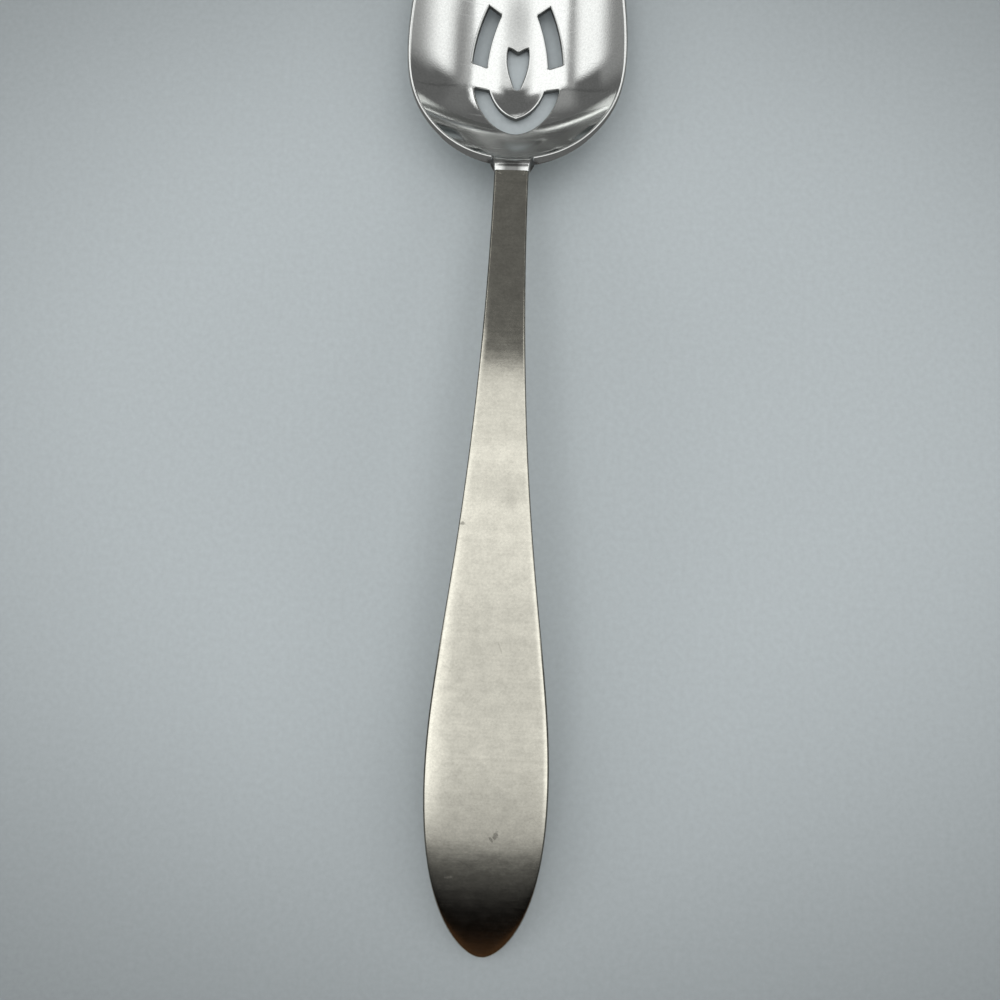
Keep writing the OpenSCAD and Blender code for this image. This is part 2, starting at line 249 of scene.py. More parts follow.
@dataclass(frozen=True)
class Piercing:
    """The pierced pattern of the floor, in plan, measured ahead of the bowl's rear end."""

    rear_y: float
    slot_radius: float = 36 * MM
    slot_width: float = 3 * MM
    slot_near: Vector = Vector((8 * MM, 26.75 * MM))
    slot_near_angle: float = math.radians(4)
    slot_far_angle: float = math.radians(23.5)
    slot_skew: float = 0.16 * MM
    shield_foot: float = 22.15 * MM
    shield_length: float = 9.15 * MM
    shield_width: float = 4.2 * MM
    shield_foot_radius: float = 0.75 * MM
    shield_notch: float = 0.95 * MM
    crescent_foot: float = 10.75 * MM
    crescent_length: float = 10.9 * MM
    crescent_width: float = 17.8 * MM
    tongue_width: float = 11.7 * MM
    crescent_gap: float = 4.45 * MM
    leaf_near: float = 43.05 * MM
    leaf_length: float = 12.5 * MM
    leaf_width: float = 3.4 * MM
    corner: float = 0.28 * MM
    tongue_corner: float = 0.7 * MM
    step: float = 0.32 * MM
    shortest: float = 0.03 * MM
    steepest: float = 2.2
    smooth_turn: float = 0.08
    turn_step: float = 0.4

    def outlines(self) -> list[list[Vector]]:
        """Returns every hole's outline, turning to the left, with its corners rounded."""
        slot = self.slot()
        other_slot = [mirrored(run) for run in reversed(slot)]
        shapes = [slot, other_slot, self.shield(), self.crescent(), self.leaf()]
        lift = Vector((0, self.rear_y))
        return [[p + lift for p in self.rounded(shape)] for shape in shapes]

    def arc(self, centre: Vector, radius: float, start: float, end: float) -> list[Vector]:
        """Returns points along an arc about centre, about one step apart."""
        count = max(3, round(abs(end - start) * radius / self.step))
        angles = [start + (end - start) * i / count for i in range(count + 1)]
        return [centre + Vector((math.cos(a), math.sin(a))) * radius for a in angles]

    def curve(self, a: Vector, b: Vector, c: Vector, d: Vector) -> list[Vector]:
        """Returns points along a cubic curve, about one step apart."""
        count = max(4, round((d - a).length * 1.1 / self.step))
        return Cubic((a, b, c, d)).run(count)

    def slot(self) -> list[list[Vector]]:
        """Returns the runs of the right-hand side slot."""
        near = Vector((math.cos(self.slot_near_angle), math.sin(self.slot_near_angle)))
        centre = self.slot_near - near * self.slot_radius
        skew = math.asin(self.slot_skew / self.slot_radius)
        outer = self.arc(centre, self.slot_radius + self.slot_width / 2,
                         self.slot_near_angle + skew, self.slot_far_angle + skew)
        inner = self.arc(centre, self.slot_radius - self.slot_width / 2,
                         self.slot_far_angle - skew, self.slot_near_angle - skew)
        return [outer, self.edge(outer[-1], inner[0]), inner, self.edge(inner[-1], outer[0])]

    def edge(self, a: Vector, b: Vector) -> list[Vector]:
        """Returns points along a straight edge, about one step apart."""
        count = max(2, round((b - a).length / self.step))
        return [mix(a, b, i / count) for i in range(count + 1)]

    def shield(self) -> list[list[Vector]]:
        """Returns the runs of the shield with its notched top and rounded foot."""
        half = self.shield_width / 2
        foot = self.shield_foot
        top = foot + self.shield_length
        notch = self.curve(Vector((0, top - self.shield_notch)),
                           Vector((0.33 * half, top - 0.95 * self.shield_notch)),
                           Vector((0.48 * half, top - 0.4 * self.shield_notch)), Vector((half, top)))
        centre = Vector((0, foot + self.shield_foot_radius))
        flank = self.curve(Vector((half, top)), Vector((1.28 * half, foot + 0.64 * self.shield_length)),
                           Vector((0.76 * half, foot + 0.33 * self.shield_length)),
                           Vector((self.shield_foot_radius, centre.y)))
        toe = self.arc(centre, self.shield_foot_radius, 0, -math.pi)
        right = flank + toe[1:]
        runs = [notch, right + mirrored(flank)[1:], mirrored(notch)]
        return [list(reversed(run)) for run in reversed(runs)]

    def crescent(self) -> list[list[Vector]]:
        """Returns the runs of the crescent round the foot of the tongue."""
        foot = self.crescent_foot
        ear = foot + self.crescent_length
        tip = foot + self.crescent_gap
        rise = ear - tip
        half, inner = self.crescent_width / 2, self.tongue_width / 2
        tongue = self.curve(Vector((0, tip)), Vector((0.41 * inner, tip + 0.07 * rise)),
                            Vector((0.85 * inner, tip + 0.52 * rise)), Vector((inner, ear)))
        outer = self.curve(Vector((half, ear)), Vector((0.95 * half, foot + 0.51 * self.crescent_length)),
                           Vector((0.4 * half, foot)), Vector((0, foot)))
        top = self.edge(tongue[-1], outer[0])
        runs = [tongue, top, outer + mirrored(outer)[1:], mirrored(top), mirrored(tongue)]
        return [list(reversed(run)) for run in reversed(runs)]

    def leaf(self) -> list[list[Vector]]:
        """Returns the runs of the slim leaf ahead of the shield."""
        near, length, pull = self.leaf_near, self.leaf_length, 0.67 * self.leaf_width
        right = self.curve(Vector((0, near)), Vector((pull, near + 0.36 * length)),
                           Vector((pull, near + 0.76 * length)), Vector((0, near + length)))
        return [right, mirrored(right)]

    def rounded(self, runs: Sequence[Sequence[Vector]]) -> list[Vector]:
        """Joins runs end to end and rounds each corner between them.

        Args:
            runs: Smooth runs of points, each beginning where the one before ends.

        Returns:
            The closed outline.
        """
        cuts = []
        for before, after in zip(runs, list(runs[1:]) + [runs[0]]):
            arrive = (before[-1] - before[-2]).normalized()
            leave = (after[1] - after[0]).normalized()
            turn = math.atan2(arrive.cross(leave), arrive.dot(leave))
            radius = self.corner if turn > 0 else self.tongue_corner
            cuts.append((radius * math.tan(min(abs(turn), self.steepest) / 2), turn, before[-1]))
        outline: list[Vector] = []
        for index, run in enumerate(runs):
            start_cut, end_cut = cuts[index - 1][0], cuts[index][0]
            kept = self.trimmed(run, start_cut, end_cut)
            outline += kept
            following = runs[(index + 1) % len(runs)]
            after = self.trimmed(following, end_cut, 0)[0]
            _, turn, corner = cuts[index]
            if abs(turn) < self.smooth_turn:
                outline.pop()
                continue
            steps = max(3, round(abs(turn) / self.turn_step))
            outline += bent(kept[-1], corner, after, (i / steps for i in range(1, steps)))
        return outline

    def trimmed(self, run: Sequence[Vector], head: float, tail: float) -> list[Vector]:
        """Cuts a length off each end of a run of points."""
        points = [p.copy() for p in run]
        for length in (tail, head):
            points.reverse()
            left = length
            while len(points) > 2 and (points[1] - points[0]).length <= left:
                left -= (points[1] - points[0]).length
                points.pop(0)
            if left > 0:
                gap = (points[1] - points[0]).length
                points[0] = mix(points[0], points[1], min(left / gap, 0.9))
            if (points[1] - points[0]).length < self.shortest and len(points) > 2:
                points.pop(1)
        return points


@dataclass
class Skin:
    """Points and faces of a closed skin while it is being laid out."""

    points: list[Vector] = field(default_factory=list)
    faces: list[tuple[int, ...]] = field(default_factory=list)

    def add(self, points: Iterable[Vector]) -> list[int]:
        """Adds points and returns their numbers."""
        first = len(self.points)
        self.points += [p.copy() for p in points]
        return list(range(first, len(self.points)))

    def bridge(self, a: Sequence[int], b: Sequence[int], closed: bool = True) -> None:
        """Lays quads between two loops or two rows with equal counts.

        Args:
            a: Numbers of the first loop's points.
            b: Numbers of the second loop's points.
            closed: Whether the last points join the first ones.
        """
        count = len(a)
        for i in range(count if closed else count - 1):
            j = (i + 1) % count
            self.faces.append((a[i], a[j], b[j], b[i]))

    def piece(self, name: str) -> bpy.types.Object:
        """Makes the skin a mesh object whose faces point outwards."""
        mesh = bpy.data.meshes.new(name)
        mesh.from_pydata([tuple(p) for p in self.points], [], self.faces)
        shape = bmesh.new()
        shape.from_mesh(mesh)
        bmesh.ops.recalc_face_normals(shape, faces=shape.faces)
        shape.to_mesh(mesh)
        shape.free()
        mesh.validate()
        obj = bpy.data.objects.new(name, mesh)
        bpy.context.scene.collection.objects.link(obj)
        return obj


def polish_normals(obj: bpy.types.Object) -> None:
    """Shades a piece smooth, so that its large faces rule the highlights and its edges stay round."""
    bpy.ops.object.select_all(action="DESELECT")
    bpy.context.view_layer.objects.active = obj
    obj.select_set(True)
    bpy.ops.object.shade_smooth_by_angle(angle=SMOOTH_ANGLE)
    modifier = obj.modifiers.new("weights", "WEIGHTED_NORMAL")
    modifier.keep_sharp = True
    modifier.weight = 50
    bpy.ops.object.modifier_apply(modifier=modifier.name)
    obj.select_set(False)


@dataclass
class PiercedBowl:
    """The mirror-polished bowl with its pierced floor and the root up to the finish line.

    Its faces are laid out by code, because a mirror shows every fault of a mesh: even triangles fill
    the pierced floor, and even rings lead from there to the rim and the neck.
    """

    form: BowlForm
    piercing: Piercing
    finish_y: float
    neck_z: float
    neck_angle: float
    neck_width: float = 6.7 * MM
    neck_thickness: float = 3.2 * MM
    neck_edge: float = 0.2 * MM
    neck_crown: float = 0.2 * MM
    neck_step: float = 0.16 * MM
    crest_angle: float = math.radians(14)
    around: int = 288
    rings: int = 16
    neck_steps: int = 9
    floor_half: tuple[float, float] = (0.56, 0.72)
    floor_middle: float = 0.06
    floor_step: float = 0.66 * MM
    hole_edge: float = 0.36 * MM
    hole_under: float = 0.18 * MM
    hole_rest: float = 0.12 * MM
    rim_edge: float = 0.24 * MM
    rows: int = 14
    wall_rows: int = 8
    top_pull: tuple[float, float] = (1.5 * MM, 2.6 * MM)
    under_pull: tuple[float, float] = (1.2 * MM, 1 * MM)
    flank_pull: tuple[float, float] = (0.3 * MM, 1.5 * MM)

    def build(self) -> bpy.types.Object:
        """Lays out, closes and polishes the bowl.

        Returns:
            The finished piece.
        """
        skin = Skin()
        outlines = self.piercing.outlines()
        faces = {side: self.face(skin, side, outlines) for side in Side}
        self.walls(skin, faces[Side.TOP][1], faces[Side.UNDER][1], outlines)
        self.edge_and_neck(skin, faces[Side.TOP][0], faces[Side.UNDER][0])
        obj = skin.piece("polished_bowl")
        polish_normals(obj)
        return obj

    def direction(self, index: int) -> tuple[float, float]:
        """Returns the unit direction of a spoke, counted from the neck towards the right."""
        angle = math.tau * index / self.around - math.pi / 2
        return math.cos(angle), math.sin(angle)

    def on_spoke(self, index: int, share: float, side: Side) -> Vector:
        """Returns the point of a face at a share of the way from the floor's edge to the rim."""
        c, s = self.direction(index)
        xi = self.floor_half[0] * c
        sigma = self.floor_middle + self.floor_half[1] * s
        return self.form.place(xi + (c - xi) * share, sigma + (s - sigma) * share, side)

    def offset(self, outline: Sequence[Vector], distance: float) -> list[Vector]:
        """Moves an outline out into the metal by a distance."""
        moved = []
        count = len(outline)
        for i, p in enumerate(outline):
            a, b = outline[i - 1], outline[(i + 1) % count]
            before = (p - a).normalized()
            after = (b - p).normalized()
            normal = Vector((before.y + after.y, -before.x - after.x)).normalized()
            stretch = max(normal.dot(Vector((after.y, -after.x))), 0.6)
            moved.append(p + normal * (distance / stretch))
        return moved

    def face(self, skin: Skin, side: Side,
             outlines: Sequence[Sequence[Vector]]) -> tuple[list[int], list[list[int]]]:
        """Lays out one face of the sheet from the holes to the rim.

        Args:
            skin: The skin that takes the faces.
            side: Which face of the sheet.
            outlines: Outlines of the holes in plan.

        Returns:
            The numbers of the outermost ring, and of the ring round each hole.
        """
        radius = self.hole_edge if side is Side.TOP else self.hole_under
        inner = [self.on_spoke(i, 0, side) for i in range(self.around)]
        boundary = [p.to_2d() for p in inner]
        holes = [self.offset(o, radius + self.hole_rest) for o in outlines]
        fill = self.filling(boundary, holes)
        plan = boundary + [p for hole in holes for p in hole] + fill
        numbers = skin.add(inner) + skin.add(self.form.over(p.x, p.y, side) for p in plan[self.around:])
        loops = [list(range(self.around))]
        for hole in holes:
            start = loops[-1][-1] + 1
            loops.append(list(range(start, start + len(hole))))
        edges = [(loop[i - 1], loop[i]) for loop in loops for i in range(len(loop))]
        _, _, cells, origin, _, _ = geometry.delaunay_2d_cdt(plan, edges, [], 0, 1e-9, True)
        vertex = {i: ids[0] for i, ids in enumerate(origin) if ids}
        for cell in cells:
            corners = [vertex[i] for i in cell]
            centre = sum((plan[i] for i in corners), Vector((0, 0))) / 3
            if inside(centre, boundary) and not any(inside(centre, hole) for hole in holes):
                skin.faces.append(tuple(numbers[i] for i in corners))
        ring = [numbers[i] for i in loops[0]]
        for share in self.ring_shares(side):
            following = skin.add(self.on_spoke(i, share(i), side) for i in range(self.around))
            skin.bridge(ring, following)
            ring = following
        return ring, [[numbers[i] for i in loop] for loop in loops[1:]]

    def ring_shares(self, side: Side) -> list[Callable[[int], float]]:
        """Returns, for each ring, the function from a spoke to its share of the way to the rim."""
        lengths = [(self.on_spoke(i, 1, side) - self.on_spoke(i, 0.9, side)).length * 10
                   for i in range(self.around)]

        def even(step: int) -> Callable[[int], float]:
            return lambda i: (step / self.rings) * (1 - 3 * self.rim_edge / lengths[i])

        def close(distance: float) -> Callable[[int], float]:
            return lambda i: 1 - distance / lengths[i]

        return [even(k) for k in range(1, self.rings + 1)] + [close(1.8 * self.rim_edge), close(self.rim_edge)]

    def filling(self, boundary: Sequence[Vector], holes: Sequence[Sequence[Vector]]) -> list[Vector]:
        """Spreads points evenly over the floor, clear of its edge and of the holes.

        Args:
            boundary: The floor's edge in plan.
            holes: The rings round the holes in plan.

        Returns:
            The points in plan.
        """
        reach_x = max(p.x for p in boundary)
        low, high = min(p.y for p in boundary), max(p.y for p in boundary)
        row_step = self.floor_step * math.sqrt(3) / 2
        fixed = [p for loop in [boundary, *holes] for p in loop]
        clear = (0.6 * self.floor_step) ** 2
        points = []
        for row in range(math.ceil((high - low) / row_step)):
            y = low + (row + 0.5) * row_step
            shift = 0.5 * (row % 2)
            count = math.ceil(reach_x / self.floor_step)
            for column in range(-count, count + 1):
                p = Vector(((column + shift) * self.floor_step, y))
                if not inside(p, boundary) or any(inside(p, hole) for hole in holes):
                    continue
                if all((p - q).length_squared > clear for q in fixed):
                    points.append(p)
        return points

    def walls(self, skin: Skin, tops: list[list[int]], unders: list[list[int]],
              outlines: Sequence[Sequence[Vector]]) -> None:
        """Rolls the edges of each hole over and closes its wall."""
        quarter = [math.pi / 2 * k / 4 for k in range(5)]
        for top, under, outline in zip(tops, unders, outlines):
            loops = [top]
            for angle in quarter:
                out, down = self.hole_edge * (1 - math.sin(angle)), self.hole_edge * (1 - math.cos(angle))
                loops.append(skin.add(self.form.over(p.x, p.y, Side.TOP) - Vector((0, 0, down))
                                      for p in self.offset(outline, out)))
            lower = []
            for angle in reversed(quarter):
                out, up = self.hole_under * (1 - math.sin(angle)), self.hole_under * (1 - math.cos(angle))
                lower.append(skin.add(self.form.over(p.x, p.y, Side.UNDER) + Vector((0, 0, up))
                                      for p in self.offset(outline, out)))
            for share in (0.33, 0.67):
                loops.append(skin.add(mix(skin.points[a], skin.points[b], share)
                                      for a, b in zip(loops[5], lower[0])))
            for a, b in zip(loops + lower, loops[1:] + lower + [under]):
                skin.bridge(a, b)

    def rim_profile(self, index: int) -> list[Vector]:
        """Returns the points over the rim on one spoke, without the two that the faces end on.

        The inner wall rounds into a narrow top, which rounds into a flank that falls to the outline.
        """
        inner, outer = (self.on_spoke(index, 1, side) for side in Side)
        wall = (self.on_spoke(index, 0.97, Side.TOP) - inner).normalized()
        under = (self.on_spoke(index, 0.97, Side.UNDER) - outer).normalized()
        level = (outer - inner) * Vector((1, 1, 0))
        out = level.normalized()
        shoulder = inner + out * min(self.form.rim_top, level.length / 2)
        flank = (outer - shoulder).normalized()
        e, f = self.rim_edge, self.form.rim_top / 2
        first = bent(inner + wall * e, inner, inner + out * f, (1 / 3, 2 / 3, 1))
        second = bent(shoulder - out * f * 0.6, shoulder, shoulder + flank * f, (0.5, 1))
        third = bent(outer - flank * e, outer, outer + under * e, (0, 0.5))
        return first + second + third

    def edge_and_neck(self, skin: Skin, top: list[int], under: list[int]) -> None:
        """Rounds the rim and runs the metal behind the bowl out into the neck."""
        n = self.around
        k = self.neck_steps
        free = list(range(k, n - k + 1))
        profiles = {i: skin.add(self.rim_profile(i)) for i in free}
        for i, j in zip(free, free[1:]):
            skin.bridge([top[i], *profiles[i], under[i]], [top[j], *profiles[j], under[j]], closed=False)
        sector = [i % n for i in range(-k, k + 1)]
        start = [top[i] for i in sector] + profiles[k]
        start += [under[i] for i in reversed(sector)] + list(reversed(profiles[n - k]))
        ends = self.finish_section()
        leave, pulls = self.leaving(sector)
        flat = Vector((0, math.cos(self.crest_angle), math.sin(self.crest_angle)))
        slant = Vector((0, math.cos(self.neck_angle), -math.sin(self.neck_angle)))
        tops = len(sector)
        curves = [Cubic((skin.points[s], skin.points[s] + d * pull[0],
                         e + (flat if i < tops else slant) * pull[1], e))
                  for i, (s, e, d, pull) in enumerate(zip(start, ends, leave, pulls))]
        loop = start
        for row in range(1, self.rows + 1):
            following = skin.add(curve.at(row / self.rows) for curve in curves)
            skin.bridge(loop, following)
            loop = following
        centre = skin.add([sum((skin.points[i] for i in loop), Vector()) / len(loop)])[0]
        skin.faces += [(loop[i - 1], loop[i], centre) for i in range(len(loop))]

    def leaving(self, sector: list[int]) -> tuple[list[Vector], list[tuple[float, float]]]:
        """Returns how the neck's skin leaves the bowl at each point of its first loop.

        Args:
            sector: The spokes that run into the neck, from left to right.

        Returns:
            The directions, and the pulls at the bowl and at the finish line.
        """
        top, under = ([(self.on_spoke(i, 1, side) - self.on_spoke(i, 0.985, side)).normalized() for i in sector]
                      for side in Side)
        under.reverse()
        shares = [j / self.wall_rows for j in range(1, self.wall_rows)]
        right = [self.turned(top[-1], Vector((-1, -0.15, 0)), under[0], share) for share in shares]
        left = [self.turned(under[-1], Vector((1, -0.15, 0)), top[0], share) for share in shares]
        flank_pulls = [self.flank_pull] * len(shares)
        pulls = [self.top_pull] * len(top) + flank_pulls + [self.under_pull] * len(under) + flank_pulls
        return top + right + under + left, pulls

    @staticmethod
    def turned(a: Vector, middle: Vector, b: Vector, share: float) -> Vector:
        """Returns a direction that goes from a by the middle one to b."""
        bulge = math.sin(math.pi * share) ** 0.5
        return (mix(a, b, share) * (1 - bulge) + middle * bulge).normalized()

    def finish_section(self) -> list[Vector]:
        """Returns the outline of the neck on the finish line, in the order of the first loop."""
        half, r = self.neck_width / 2, self.neck_edge
        high, low = self.neck_z - self.neck_step, self.neck_z - self.neck_thickness
        count = 2 * self.neck_steps + 1

        def corner(x: float, z: float, degrees: float) -> Vector:
            a = math.radians(degrees)
            return Vector((x + r * math.cos(a), self.finish_y, z + r * math.sin(a)))

        def flat(z: float, steps: int, crown: float) -> list[Vector]:
            xs = [(half - r) * (2 * i / (steps + 1) - 1) for i in range(1, steps + 1)]
            return [Vector((x, self.finish_y, z - crown * (x / half) ** 2)) for x in xs]

        shoulder = high - self.neck_crown - r
        top = [corner(r - half, shoulder, d) for d in (135, 112.5, 90)]
        top += flat(high, count - 6, self.neck_crown)
        top += [corner(half - r, shoulder, d) for d in (90, 67.5, 45)]
        under = [corner(half - r, low + r, d) for d in (-45, -67.5, -90)]
        under += list(reversed(flat(low, count - 6, 0)))
        under += [corner(r - half, low + r, d) for d in (-90, -112.5, -135)]
        right = [corner(half - r, shoulder, 22.5), corner(half - r, shoulder, 0)]
        upright = [mix(right[-1], corner(half - r, low + r, 0), s) for s in (0.25, 0.5, 0.75)]
        right += upright + [corner(half - r, low + r, 0), corner(half - r, low + r, -22.5)]
        return top + right + under + mirrored(right)


def inside(point: Vector, outline: Sequence[Vector]) -> bool:
    """Tells whether a plan point lies inside a closed outline."""
    found = False
    x, y = point.x, point.y
    previous = outline[-1]
    for current in outline:
        if (current.y > y) != (previous.y > y):
            cross = previous.x + (y - previous.y) * (current.x - previous.x) / (current.y - previous.y)
            if x < cross:
                found = not found
        previous = current
    return found


@dataclass
class SatinHandle:
    """The satin handle, cut and rounded as a flat blank and then bent to its side profile."""

    tip_y: float
    finish_y: float
    neck_z: float
    neck_angle: float
    tip_angle: float = math.radians(27)
    tip_thickness: float = 2.2 * MM
    neck_thickness: float = 3.2 * MM
    width: float = 22.5 * MM
    wide_from_tip: float = 32 * MM
    tip_width: float = 0.6 * MM
    neck_width: float = 6.7 * MM
    edge: float = 0.35 * MM
    edge_steps: int = 4
    crown: float = 0.095 * MM
    edge_fall: float = 0.14 * MM
    shoulder: float = 1.1 * MM
    tip_steps: int = 24
    side_steps: int = 72
    cuts_across: int = 9

    @property
    def length(self) -> float:
        """Length of the handle from its tip to the finish line."""
        return self.finish_y - self.tip_y

    @property
    def profile(self) -> Cubic:
        """Returns the side profile of the top, as distance from the tip and height."""
        tip_z = self.tip_thickness / math.cos(self.tip_angle)
        rise, fall = 0.33 * self.length, 0.465 * self.length
        return Cubic((Vector((0, tip_z)), Vector((rise, tip_z + rise * math.tan(self.tip_angle))),
                      Vector((self.length - fall, self.neck_z + fall * math.tan(self.neck_angle))),
                      Vector((self.length, self.neck_z))))

    @property
    def outline(self) -> tuple[Cubic, Cubic]:
        """Returns distance from the tip and half width, round the tip and then along the sides."""
        wide, half, narrow = self.wide_from_tip, self.width / 2, self.neck_width / 2
        blunt = self.tip_width / 2
        taper = self.length - wide
        return (Cubic((Vector((0, blunt)), Vector((0, blunt + 0.22 * (half - blunt))),
                       Vector((0.18 * wide, half)), Vector((wide, half)))),
                Cubic((Vector((wide, half)), Vector((wide + 0.225 * taper, half)),
                       Vector((wide + 0.357 * taper, narrow)), Vector((self.length, narrow)))))

    def stations(self) -> list[Vector]:
        """Returns distance from the tip and half width along the handle, from the neck to the tip."""
        tip, side = self.outline
        return list(reversed(tip.run(self.tip_steps)[:-1] + side.run(self.side_steps)))

    def half_at(self, along: float) -> float:
        """Returns the half width at a distance from the tip."""
        tip, side = self.outline
        return (tip if along < self.wide_from_tip else side).reach(along).y

    def build(self) -> bpy.types.Object:
        """Cuts, rounds and bends the handle.

        Returns:
            The finished piece.
        """
        obj = self.cut_blank()
        self.thicken(obj)
        self.bend(obj)
        polish_normals(obj)
        return obj

    def cut_blank(self) -> bpy.types.Object:
        """Draws the flat blank from the neck to the tip, station by station."""
        stations = self.stations()
        first, second = stations[0], stations[1]
        middle = self.tip_y + (first.x + second.x) / 2
        bpy.ops.object.select_all(action="DESELECT")
        bpy.ops.mesh.primitive_plane_add(size=1, location=(0, middle, 0))
        obj = bpy.context.active_object
        obj.name = obj.data.name = "satin_handle"
        obj.scale = (2 * first.y, first.x - second.x, 1)
        bpy.ops.object.transform_apply(location=True, rotation=True, scale=True)
        bpy.ops.object.mode_set(mode="EDIT")
        pick(obj, "VERT", lambda v: v.co.y < middle)
        self.widen(second, first)
        for before, after in zip(stations[1:], stations[2:]):
            step = (0, after.x - before.x, 0)
            bpy.ops.mesh.extrude_region_move(TRANSFORM_OT_translate={"value": step})
            self.widen(after, before)
        bpy.ops.object.mode_set(mode="OBJECT")
        return obj

    def widen(self, after: Vector, before: Vector) -> None:
        """Scales the selected end of the blank to its station's width."""
        bpy.ops.transform.resize(value=(after.y / before.y, 1, 1), center_override=(0, self.tip_y + after.x, 0))

    def thicken(self, obj: bpy.types.Object) -> None:
        """Insets the shoulder, cuts across, gives the blank its thickness and rounds its long edges."""
        bpy.ops.object.mode_set(mode="EDIT")
        bpy.ops.mesh.select_all(action="SELECT")
        bpy.ops.mesh.inset(thickness=self.shoulder, depth=0, use_boundary=True, use_even_offset=True)
        pick(obj, "EDGE", lambda e: e.verts[0].co.x * e.verts[1].co.x < 0)
        bpy.ops.mesh.subdivide(number_cuts=self.cuts_across)
        bpy.ops.mesh.select_all(action="SELECT")
        down = (0, 0, -self.neck_thickness)
        bpy.ops.mesh.extrude_region_move(TRANSFORM_OT_translate={"value": down})
        bpy.ops.mesh.select_all(action="SELECT")
        bpy.ops.mesh.normals_make_consistent(inside=False)
        pick(obj, "EDGE", self.is_long_edge)
        bpy.ops.mesh.bevel(offset=self.edge, offset_type="OFFSET", segments=self.edge_steps, affect="EDGES")
        bpy.ops.object.mode_set(mode="OBJECT")

    def is_long_edge(self, edge: bmesh.types.BMEdge) -> bool:
        """Tells whether an edge of the thick blank runs along its outline, above or below."""
        a, b = edge.verts
        upright = abs(a.co.z - b.co.z) > self.edge
        level = abs(a.co.y - b.co.y) < 0.01 * MM
        at_neck = level and min(a.co.y, b.co.y) > self.finish_y - self.edge
        return edge.calc_face_angle(0) > 1 and not upright and not at_neck

    def bend(self, obj: bpy.types.Object) -> None:
        """Bends the blank to its side profile, thins it towards the tip and crowns its top."""
        profile = self.profile
        half_thick, thinning = self.neck_thickness / 2, self.neck_thickness - self.tip_thickness
        for vertex in obj.data.vertices:
            x, y, z = vertex.co
            along = min(max(y - self.tip_y, 0), self.length)
            here = profile.reach(along)
            near, far = profile.reach(max(along - MM, 0)), profile.reach(min(along + MM, self.length))
            stretch = math.hypot(1, (far.y - near.y) / (far.x - near.x))
            thick = self.tip_thickness + thinning * soft_step(along / self.length)
            below = -z if -z < half_thick else thick - (self.neck_thickness + z)
            half = self.half_at(along)
            across = min(abs(x) / half, 1)
            fall = (self.crown * across**2 + self.edge_fall * across**7) * half / (self.width / 2)
            top = here.y - fall * min(1, 2 * (1 + z / self.neck_thickness))
            vertex.co.z = max(top - below * stretch, 0)


def pick(obj: bpy.types.Object, kind: str, wanted: Callable) -> None:
    """Selects, in edit mode, the vertices or edges that a rule wants.

    Args:
        obj: The piece in edit mode.
        kind: "VERT" or "EDGE".
        wanted: The rule, which is given a vertex or an edge.
    """
    bpy.ops.mesh.select_mode(type=kind)
    bpy.ops.mesh.select_all(action="DESELECT")
    shape = bmesh.from_edit_mesh(obj.data)
    for element in shape.verts if kind == "VERT" else shape.edges:
        if wanted(element):
            element.select_set(True)
    shape.select_flush_mode()
    bmesh.update_edit_mesh(obj.data)


@dataclass(frozen=True)
class Value:
    """A number that travels along a link, so that maths on it reads as Python."""

    board: "Board"
    socket: bpy.types.NodeSocket

    def do(self, operation: str, *others: "Value | float", swap: bool = False) -> "Value":
        """Adds a Math node.

        Args:
            operation: The node's operation.
            others: The node's other inputs.
            swap: Whether this value comes last.

        Returns:
            The node's result.
        """
        inputs = (*others, self) if swap else (self, *others)
        node = self.board.node("ShaderNodeMath", {"operation": operation}, dict(enumerate(inputs)))
        return Value(self.board, node.outputs[0])

    def __add__(self, other: "Value | float") -> "Value":
        """Returns the sum."""
        return self.do("ADD", other)

    __radd__ = __add__

    def __mul__(self, other: "Value | float") -> "Value":
        """Returns the product."""
        return self.do("MULTIPLY", other)

    __rmul__ = __mul__

    def __sub__(self, other: "Value | float") -> "Value":
        """Returns the difference."""
        return self.do("SUBTRACT", other)

    def __rsub__(self, other: float) -> "Value":
        """Returns a number less this value."""
        return self.do("SUBTRACT", other, swap=True)

    def __truediv__(self, other: "Value | float") -> "Value":
        """Returns the quotient."""
        return self.do("DIVIDE", other)

    def __pow__(self, other: float) -> "Value":
        """Returns the power."""
        return self.do("POWER", other)

    def __abs__(self) -> "Value":
        """Returns the size without its sign."""
        return self.do("ABSOLUTE")

    def step(self, start: float, end: float) -> "Value":
        """Returns a soft step from 0 at start to 1 at end, which may be the lower one."""
        node = self.board.node("ShaderNodeMapRange", {"interpolation_type": "SMOOTHSTEP", "clamp": True},
                               {0: self, 1: start, 2: end, 3: 0, 4: 1})
        return Value(self.board, node.outputs[0])

    def towards(self, other: "Value | float", share: "Value") -> "Value":
        """Returns the value a share of the way from this one to another."""
        return self + (other - self) * share

    def within(self, centre: float, half: float, soft: float) -> "Value":
        """Returns 1 within half of a centre and 0 outside, with an edge of a given softness."""
        return abs(self - centre).step(half + soft / 2, half - soft / 2)


